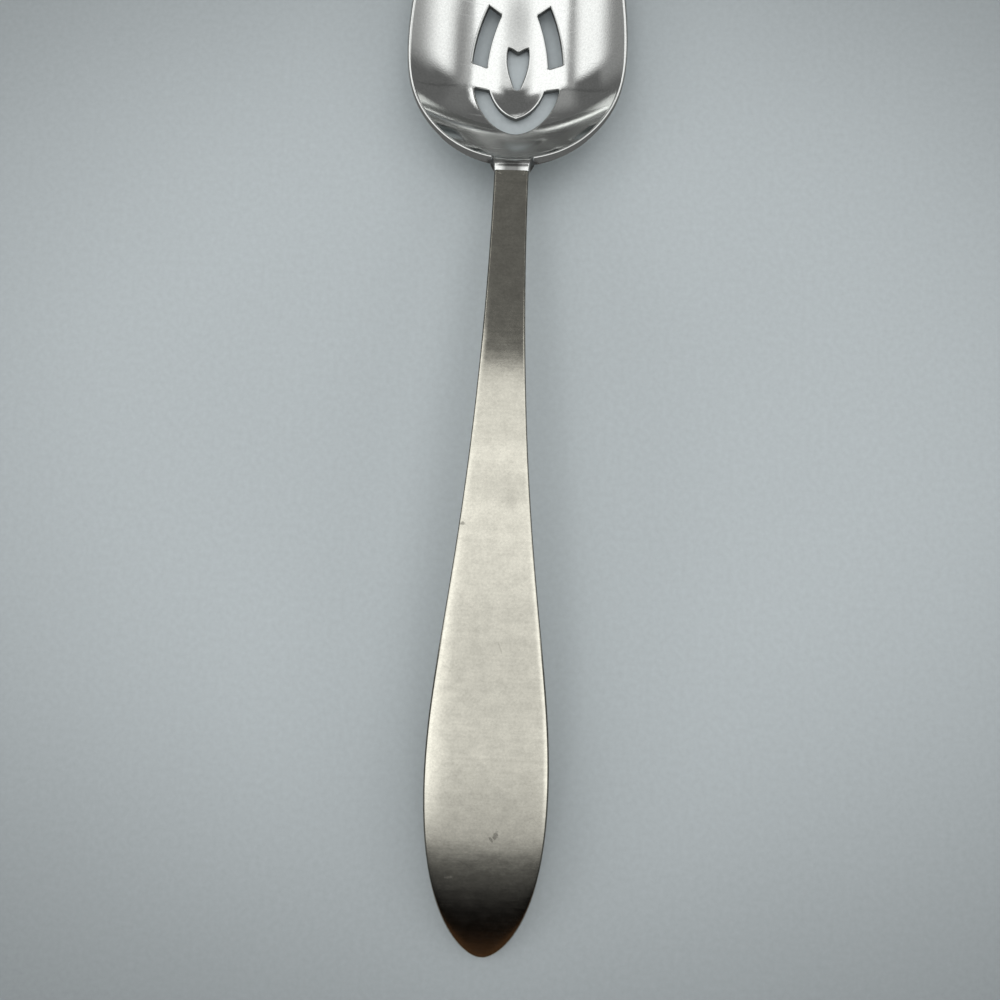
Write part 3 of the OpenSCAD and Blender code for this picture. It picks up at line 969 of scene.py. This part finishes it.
@dataclass(frozen=True)
class Board:
    """The node tree of one finish, or of the room."""

    tree: bpy.types.NodeTree

    def node(self, kind: str, settings: dict | None = None, inputs: dict | None = None) -> bpy.types.Node:
        """Adds a node.

        Args:
            kind: The node's type.
            settings: Its properties, which are set first.
            inputs: Values or links of its sockets, by name or number.

        Returns:
            The node.
        """
        node = self.tree.nodes.new(kind)
        for name, setting in (settings or {}).items():
            setattr(node, name, setting)
        for name, value in (inputs or {}).items():
            socket = node.inputs[name]
            if isinstance(value, Value):
                self.tree.links.new(value.socket, socket)
            elif isinstance(value, bpy.types.NodeSocket):
                self.tree.links.new(value, socket)
            else:
                socket.default_value = value
        return node

    def value(self, socket: bpy.types.NodeSocket) -> Value:
        """Wraps a socket for maths."""
        return Value(self, socket)

    def axes(self, vector: bpy.types.NodeSocket) -> tuple[Value, Value, Value]:
        """Splits a vector into its three numbers."""
        parts = self.node("ShaderNodeSeparateXYZ", inputs={0: vector})
        return tuple(self.value(parts.outputs[i]) for i in range(3))

    def place(self) -> bpy.types.NodeSocket:
        """Returns the place on the piece, in metres of the shared frame."""
        return self.node("ShaderNodeTexCoord").outputs["Object"]

    def stretched(self, vector: bpy.types.NodeSocket, scale: tuple[float, float, float],
                  turn: float = 0) -> bpy.types.NodeSocket:
        """Turns a place about the upright axis and scales it, to draw a pattern out."""
        node = self.node("ShaderNodeMapping", inputs={0: vector, 2: (0, 0, turn), 3: scale})
        return node.outputs[0]

    def noise(self, vector: bpy.types.NodeSocket, scale: float, detail: float = 2, rough: float = 0.5) -> Value:
        """Returns soft noise about 0.5."""
        node = self.node("ShaderNodeTexNoise", inputs={"Vector": vector, "Scale": scale, "Detail": detail,
                                                       "Roughness": rough})
        return self.value(node.outputs[0])

    def normal(self, kind: str) -> tuple[Value, Value, Value]:
        """Returns the three numbers of the surface's direction, "Normal" smooth or "True Normal" flat."""
        return self.axes(self.node("ShaderNodeNewGeometry").outputs[kind])

    def bump(self, height: Value) -> bpy.types.NodeSocket:
        """Returns the surface's direction once a height in metres has roughened it."""
        inputs = {"Strength": 1.0, "Distance": 1.0, "Height": height}
        return self.node("ShaderNodeBump", inputs=inputs).outputs[0]

    def shaded(self, colour: tuple[float, float, float, float], shade: Value) -> bpy.types.NodeSocket:
        """Returns a colour made lighter or darker by a value about 1."""
        inputs = {0: colour[:3], "Scale": shade}
        return self.node("ShaderNodeVectorMath", {"operation": "SCALE"}, inputs).outputs[0]

    def blend(self, share: "Value | float", a: object, b: object) -> bpy.types.NodeSocket:
        """Mixes two colours by a share."""
        node = self.node("ShaderNodeMix", {"data_type": "RGBA"}, {0: share, 6: a, 7: b})
        return node.outputs[2]


def paint(red: float, green: float, blue: float) -> tuple[float, float, float, float]:
    """Returns a colour for a socket."""
    return (red, green, blue, 1.0)


def new_finish(name: str) -> tuple[bpy.types.Material, Board, bpy.types.Node]:
    """Makes a material with an empty board.

    Args:
        name: The material's name.

    Returns:
        The material, its board and its surface shader.
    """
    material = bpy.data.materials.new(name)
    material.use_nodes = True
    board = Board(material.node_tree)
    material.node_tree.nodes.clear()
    shader = board.node("ShaderNodeBsdfPrincipled")
    board.node("ShaderNodeOutputMaterial", inputs={0: shader.outputs[0]})
    return material, board, shader


def dress(board: Board, shader: bpy.types.Node, sockets: dict[str, object]) -> None:
    """Sets or links a shader's sockets.

    Args:
        board: The board that the shader is on.
        shader: The surface shader.
        sockets: Numbers, values or links, by the name of their socket.
    """
    for name, value in sockets.items():
        if isinstance(value, (Value, bpy.types.NodeSocket)):
            board.tree.links.new(getattr(value, "socket", value), shader.inputs[name])
        else:
            shader.inputs[name].default_value = value


@dataclass(frozen=True)
class Patch:
    """A soft-edged patch with a strength: in metres on a finish, or in degrees of lean in the room.

    Across counts towards +X and along towards +Y. The lean is measured from straight up.
    """

    across: float
    along: float
    half_across: float
    half_along: float
    strength: float
    soft_across: float
    soft_along: float

    def mask(self, across: Value, along: Value) -> Value:
        """Returns 1 inside the patch and 0 outside it."""
        side = across.within(self.across, self.half_across, self.soft_across)
        return side * along.within(self.along, self.half_along, self.soft_along)


@dataclass(frozen=True)
class MirrorPolish:
    """Mirror-polished steel with a faint grain and hairlines from use.

    Its holes' upright walls are rougher. Painted shade darkens them, the two hollows beside the neck and
    the middle of the floor, and a painted dark reflection darkens the middle of the crest's highlight.
    """

    bowl_y: float
    colour: tuple[float, float, float, float] = paint(0.635, 0.648, 0.632)
    # The holes' walls and the hollows beside the neck take this dark colour, which is painted shade.
    hollow_shade_colour: tuple[float, float, float, float] = paint(0.16, 0.16, 0.155)
    roughness: float = 0.055
    worn_roughness: float = 0.06
    worn: tuple[float, float] = (20 * MM, 30 * MM)
    speck: float = 0.4 * MM
    cut_roughness: float = 0.45
    grain: float = 0.3 * MM
    grain_height: float = 0.0045 * MM
    wave: float = 3.5 * MM
    wave_height: float = 0.0012 * MM
    hair_turns: tuple[float, ...] = (0.4, 1.5, 2.5)
    hair_stretch: tuple[float, float, float] = (60, 4200, 60)
    hair_edge: tuple[float, float] = (0.70, 0.78)
    hair_roughness: float = 0.10
    cloud_scale: float = 120
    cloud_roughness: float = 0.04
    speck_shade: float = 0.42
    # Mottles the painted dark reflection over the crest.
    crest_shade_speck: float = 1.19
    # The next two place the rougher, painted-dark walls of the holes and the painted shade in the two hollows
    # beside the neck.
    pierced: Patch = Patch(0, 35 * MM, 12 * MM, 25.5 * MM, 1.0, MM, MM)
    fillet: Patch = Patch(4.3 * MM, -0.5 * MM, 0.75 * MM, 1.7 * MM, 1.0, 0.4 * MM, 0.6 * MM)
    ridge: Patch = Patch(0, -1.75 * MM, 10 * MM, 1.15 * MM, 0.14, MM, 0.4 * MM)
    # A painted dark reflection over the middle of the crest's highlight, darkening its colour.
    crest_shade: Patch = Patch(0, -1.75 * MM, 1.65 * MM, 1.15 * MM, 0.42, 1.4 * MM, 0.4 * MM)
    rear: Patch = Patch(0, 5 * MM, 5.5 * MM, 3.6 * MM, 0.13, 4 * MM, 2.4 * MM)
    # Painted shade over the middle of the bowl's floor, which stands for a dimmer reflection there.
    floor: Patch = Patch(0, 32 * MM, 2.2 * MM, 9 * MM, 0.24, 4 * MM, 8 * MM)
    wall_lean: tuple[float, float] = (0.6, 0.45)

    def make(self) -> bpy.types.Material:
        """Returns the material."""
        material, board, shader = new_finish("mirror_polish")
        place = board.place()
        cloud = board.noise(place, self.cloud_scale, 3)
        hairs = sum((self.hairline(board, place, turn) for turn in self.hair_turns), 0)
        grain = board.noise(place, 1 / self.grain, 2, 0.6) * self.grain_height
        wave = board.noise(place, 1 / self.wave, 2) * self.wave_height
        across, along, _ = board.axes(place)
        ahead = along - self.bowl_y
        crest_shade, floor, rear, ridge = (patch.mask(across, ahead) * patch.strength
                                     for patch in (self.crest_shade, self.floor, self.rear, self.ridge))
        speck = board.noise(place, 1 / self.speck, 3, 0.7)
        # The floor and crest masks darken the colour: painted shade over the floor's middle and a painted dark
        # reflection over the crest.
        shade = 1 + (speck - 0.5) * self.speck_shade - floor - crest_shade * (1 + speck * self.crest_shade_speck)
        worn = ahead.step(*self.worn) * self.worn_roughness
        dull = worn + (cloud - 0.5) * self.cloud_roughness + hairs * self.hair_roughness + rear + ridge
        # Rougher finish and painted shade on the holes' walls and in the hollows beside the neck.
        cut = self.shaded_hollows(board, across, ahead)
        dress(board, shader, {"Base Color": board.blend(cut, board.shaded(self.colour, shade), self.hollow_shade_colour),
                              "Roughness": (self.roughness + dull).towards(self.cut_roughness, cut),
                              "Metallic": 1.0, "Normal": board.bump(grain + wave)})
        return material

    def shaded_hollows(self, board: Board, across: Value, ahead: Value) -> Value:
        """Returns 1 where the steel is rougher and painted dark, which is painted shade.

        These are the upright walls of the holes, rougher as no polishing wheel reaches them, and the two
        hollows where the neck's sides meet the rim.
        """
        _, _, up = board.normal("True Normal")
        walls = abs(up).step(*self.wall_lean) * self.pierced.mask(across, ahead)
        return walls.do("MAXIMUM", self.fillet.mask(abs(across), ahead))

    def hairline(self, board: Board, place: bpy.types.NodeSocket, turn: float) -> Value:
        """Returns thin, sparse hairlines in one direction."""
        lines = board.noise(board.stretched(place, self.hair_stretch, turn), 1, 1)
        return lines.step(*self.hair_edge)


@dataclass(frozen=True)
class Mark:
    """A small dull mark on the handle, measured from its tip and from its middle line."""

    from_tip: float
    across: float
    half_along: float
    half_across: float
    turn: float
    shade: float

    def mask(self, board: Board, across: Value, from_tip: Value, broken: Value) -> Value:
        """Returns 1 in the mark and 0 away from it, with a broken edge.

        Args:
            board: The board of the finish; not used.
            across: Distance from the handle's middle line.
            from_tip: Distance from the handle's tip.
            broken: Noise about 0.5 that breaks the edge.

        Returns:
            The mark's strength.
        """
        x, y = across - self.across, from_tip - self.from_tip
        c, s = math.cos(self.turn), math.sin(self.turn)
        u, v = (x * c + y * s) / self.half_across, (y * c - x * s) / self.half_along
        reach = (u * u + v * v) ** 0.5 + (broken - 0.5) * 1.6
        return reach.step(1.1, 0.6) * self.shade


@dataclass(frozen=True)
class Satin:
    """Satin steel, brushed across, clouded and marked where hands and washing have dulled it, with painted
    shade along its edges that widens near the neck.
    """

    tip_y: float
    colour: tuple[float, float, float, float] = paint(0.570, 0.555, 0.482)
    roughness: float = 0.105
    brush_height: float = 0.0006 * MM
    speck: float = 0.45 * MM
    wave: float = 2.4 * MM
    wave_height: float = 0.007 * MM
    fine_stretch: tuple[float, float, float] = (130, 9000, 400)
    broad_stretch: tuple[float, float, float] = (40, 1800, 100)
    cloud_scale: float = 420
    broken_scale: float = 2500
    # The neck span and the two leans below place the painted shade along the handle's edges.
    neck: tuple[float, float] = (5 * MM, 15 * MM)
    edge_shade_lean: tuple[float, float] = (0.35, 0.6)
    neck_shade_lean: float = 0.3
    smudge: Mark = Mark(24.6 * MM, 2.0 * MM, 1.0 * MM, 0.45 * MM, -0.35, 1.0)
    smudge_foot: Mark = Mark(23.9 * MM, 1.2 * MM, 0.6 * MM, 0.35 * MM, 0.7, 1.0)
    nick: Mark = Mark(79.8 * MM, -5.8 * MM, 0.5 * MM, 0.45 * MM, 0, 1.0)
    scratch: Mark = Mark(58.2 * MM, 1.7 * MM, 1.6 * MM, 0.12 * MM, 0.35, 0.5)
    dents: Mark = Mark(16.2 * MM, -6.4 * MM, 0.3 * MM, 0.9 * MM, 0.2, 0.7)

    def make(self) -> bpy.types.Material:
        """Returns the material."""
        material, board, shader = new_finish("satin_steel")
        place = board.place()
        fine = board.noise(board.stretched(place, self.fine_stretch), 1, 2)
        broad = board.noise(board.stretched(place, self.broad_stretch), 1, 2)
        cloud = board.noise(place, self.cloud_scale, 5, 0.65)
        wave = board.noise(place, 1 / self.wave, 4, 0.6) * self.wave_height
        height = (fine + broad * 1.5) * self.brush_height + wave
        across, along, _ = board.axes(place)
        broken = board.noise(place, self.broken_scale, 2)
        marks = [mark.mask(board, across, along - self.tip_y, broken)
                 for mark in (self.smudge, self.smudge_foot, self.nick, self.scratch, self.dents)]
        marked = sum(marks, 0).do("MINIMUM", 1.0)
        roughness = self.roughness + (broad - 0.5) * 0.05 + (cloud - 0.5) * 0.06 + marked * 0.2
        speck = board.noise(place, 1 / self.speck, 3, 0.7)
        sideways, _, _ = board.normal("Normal")
        # Painted shade along the handle's rounded edges, reaching further in near the neck.
        edge = (abs(sideways) + along.step(*self.neck) * self.neck_shade_lean).step(*self.edge_shade_lean)
        mottle = (cloud - 0.5) * 0.45 + (broad - 0.5) * 0.16 + (speck - 0.5) * 0.5
        shade = 1 + mottle - marked * 0.4 - edge * 0.6
        dress(board, shader, {"Base Color": board.shaded(self.colour, shade), "Metallic": 1.0,
                              "Roughness": roughness, "Normal": board.bump(height)})
        return material


@dataclass(frozen=True)
class Table:
    """The plain pale table top, with a painted fall of light that dims it away from the spoon."""

    colour: tuple[float, float, float, float] = paint(0.553, 0.608, 0.627)
    half: float = 2.0
    # A painted pool of light: the table's colour dims with distance from this middle.
    light_pool_y: float = -5 * MM
    light_pool: tuple[float, float] = (50 * MM, 162 * MM)
    painted_dimming: float = 0.5
    squeeze: float = 0.75
    mottle_scale: float = 900
    broad_scale: float = 14

    def build(self) -> bpy.types.Object:
        """Lays the table top under the spoon."""
        bpy.ops.object.select_all(action="DESELECT")
        bpy.ops.mesh.primitive_plane_add(size=2 * self.half, location=(0, 0, 0))
        obj = bpy.context.active_object
        obj.name = "table_top"
        material, board, shader = new_finish("table_paint")
        place = board.place()
        mottle = board.noise(place, self.mottle_scale, 4, 0.6)
        broad = board.noise(place, self.broad_scale, 2)
        across, along, _ = board.axes(place)
        # Painted fall of light: the colour dims away from the spoon.
        away = ((across * self.squeeze) ** 2 + (along - self.light_pool_y) ** 2) ** 0.5
        shade = (0.86 + mottle * 0.21 + broad * 0.07) * (1 - away.step(*self.light_pool) * self.painted_dimming)
        dress(board, shader, {"Base Color": board.shaded(self.colour, shade), "Roughness": 0.7,
                              "Specular IOR Level": 0.3})
        obj.data.materials.append(material)
        return obj


@dataclass(frozen=True)
class Room:
    """The light of a pale room: a broad bright ceiling with lamps beside it, over dim walls."""

    level: float = 1.25
    wall: float = 0.13
    wall_right: Patch = Patch(65, 20, 8, 16, 0.35, 6, 10)
    wall_left: Patch = Patch(-66, 26, 7, 18, 0.27, 4, 16)
    wall_far_left: Patch = Patch(-34, 40, 9, 16, 0.30, 10, 22)
    wall_far_right: Patch = Patch(38, 45, 8, 22, 0.17, 8, 20)
    ceiling: Patch = Patch(-1, 2, 59, 13, 0.95, 20, 6)
    ceiling_back: Patch = Patch(0, -36, 18, 27, 0.92, 9, 8)
    ceiling_near: Patch = Patch(0, -46, 18, 36, 0.78, 9, 24)
    ceiling_end: Patch = Patch(0, -66, 18, 20, 0.54, 9, 18)
    flank_right: Patch = Patch(15, -22, 6, 27, 1.35, 7, 14)
    flank_left: Patch = Patch(-15, -22, 6, 27, 1.35, 7, 14)
    near_dim: Patch = Patch(0, -80, 80, 24, 0.09, 10, 6)
    near_dark: Patch = Patch(0, -85, 80, 23, 0.001, 10, 8)
    ceiling_far: Patch = Patch(-2.5, 20, 36.5, 13.5, 1.24, 6, 3)
    middle: Patch = Patch(0, 12, 9, 3.5, 0.86, 8, 7)
    middle_far: Patch = Patch(0, 24, 11, 6.5, 0.9, 6, 3)
    middle_end: Patch = Patch(0, 34.5, 10, 5.8, 0.14, 8, 4.5)
    edge_right: Patch = Patch(37, 20, 3.5, 15, 0.5, 4, 8)
    edge_left: Patch = Patch(-42, 20, 2.2, 15, 0.42, 3, 8)
    lamp_right: Patch = Patch(53, 10, 7, 22, 1.15, 12, 8)
    lamp_left: Patch = Patch(-53, 10, 8.5, 22.5, 1.15, 9, 5)
    beam_right: Patch = Patch(40.5, 20, 2.5, 17, 0.3, 7, 8)
    beam_left: Patch = Patch(-42, 20, 1.6, 15, 0.34, 3, 8)
    spot: Patch = Patch(0, 9, 0.8, 1.3, 0.42, 3, 2.5)
    arch_middle: tuple[float, float] = (4, 32)
    arch_reach: tuple[float, float] = (28, 31)
    ledge_bow: float = 0.004
    brown_at: tuple[float, float] = (-68.5, -71)
    brown: tuple[float, float, float] = (0.05, 0.025, 0.012)

    @property
    def patches(self) -> tuple[Patch, ...]:
        """The parts of the room, each laid over the ones before."""
        return tuple(part for part in vars(self).values() if isinstance(part, Patch))

    def light(self) -> None:
        """Lights the scene with the room."""
        world = bpy.data.worlds.new("pale_room")
        bpy.context.scene.world = world
        world.use_nodes = True
        world.node_tree.nodes.clear()
        board = Board(world.node_tree)
        x, y, z = board.axes(board.node("ShaderNodeTexCoord").outputs["Generated"])
        flat = (x * x + y * y) ** 0.5
        lean = flat.do("ARCTAN2", z) * math.degrees(1) / (flat + 1e-6)
        across, along = x * lean, y * lean
        glow = self.wall
        for patch in self.patches:
            glow = patch.mask(across, along) * (patch.strength - glow) + glow
        glow = self.arch(across, along, glow)
        low = along.step(*self.brown_at)
        parts = {i: glow + low * part for i, part in enumerate(self.brown)}
        shade = board.node("ShaderNodeCombineColor", inputs=parts)
        background = board.node("ShaderNodeBackground", inputs={0: shade.outputs[0], 1: self.level})
        board.node("ShaderNodeOutputWorld", inputs={0: background.outputs[0]})

    def arch(self, across: Value, along: Value, glow: Value) -> Value:
        """Lays the lit arch, the dim opening under it, a thin ledge and the ceiling's dark edge over the room.

        Args:
            across: Lean towards +X.
            along: Lean towards +Y.
            glow: The room so far.

        Returns:
            The room with the arch.
        """
        side = abs(across)
        radius = (((across - self.arch_middle[0]) / self.arch_reach[0]) ** 2
                  + ((along - self.arch_middle[1]) / self.arch_reach[1]) ** 2) ** 0.5
        above = along.step(33.5, 35)
        glow = glow.towards(side.step(8, 20) * 1.5 + 0.9, radius.within(0.93, 0.10, 0.2) * above)
        fall = along.step(42, 32) * side.step(5, 14) * 0.12 + 0.135
        glow = glow.towards(fall, radius.step(0.9, 0.7) * above)
        thin = (along - side * side * self.ledge_bow).within(63.6, 0.25, 0.4) * side.step(33, 23)
        glow = glow.towards(0.5, thin)
        rise = (side - 34).do("MAXIMUM", 0) ** 1.5 * 0.137
        line = (along - rise).within(34.5, 0.5, 1.0) * side.within(46, 14, 6)
        return glow * (1 - 0.6 * line)


@dataclass(frozen=True)
class Viewpoint:
    """The camera, almost straight above the spoon."""

    place: Vector = Vector((5.485 * MM, -50.357 * MM, 200 * MM))
    turns: tuple[float, float, float] = (0.12741, 0.02732, 0.03768)
    lens: float = 36
    sensor: float = 36
    clip_start: float = 10 * MM

    def set_up(self) -> None:
        """Makes the camera the scene's own."""
        data = bpy.data.cameras.new("camera")
        data.lens = self.lens
        data.sensor_width = self.sensor
        data.clip_start = self.clip_start
        camera = bpy.data.objects.new("camera", data)
        turn = Matrix.Identity(4)
        for angle, axis in zip(self.turns, "XYZ"):
            turn = turn @ Matrix.Rotation(angle, 4, axis)
        camera.matrix_world = Matrix.Translation(self.place) @ turn
        bpy.context.scene.collection.objects.link(camera)
        bpy.context.scene.camera = camera


def report(obj: bpy.types.Object) -> None:
    """Reports a finished piece."""
    LOG.info("%s: %d points, %d faces", obj.name, len(obj.data.vertices), len(obj.data.polygons))


def main() -> None:
    """Builds the spoon on its table, in its room."""
    logging.basicConfig(level=logging.INFO, format="%(message)s")
    bpy.context.scene.view_settings.view_transform = "Standard"
    bowl_low, bowl_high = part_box("bowl")
    handle_low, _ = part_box("handle")
    form = BowlForm(rear_y=bowl_high.y - BowlForm.length)
    bowl = PiercedBowl(form, Piercing(form.rear_y), bowl_low.y, bowl_high.z, NECK_ANGLE).build()
    handle = SatinHandle(handle_low.y, bowl_low.y, bowl_high.z, NECK_ANGLE).build()
    finishes = ((bowl, MirrorPolish(form.rear_y).make(), "bowl", "bowl_polish"),
                (handle, Satin(handle_low.y).make(), "handle", "handle_satin"))
    for obj, material, node, slot in finishes:
        obj.data.materials.clear()
        obj.data.materials.append(material)
        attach(obj, "root")
        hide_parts(node)
        report(obj)
    Table().build()
    Room().light()
    Viewpoint().set_up()


if __name__ == "__main__":
    main()
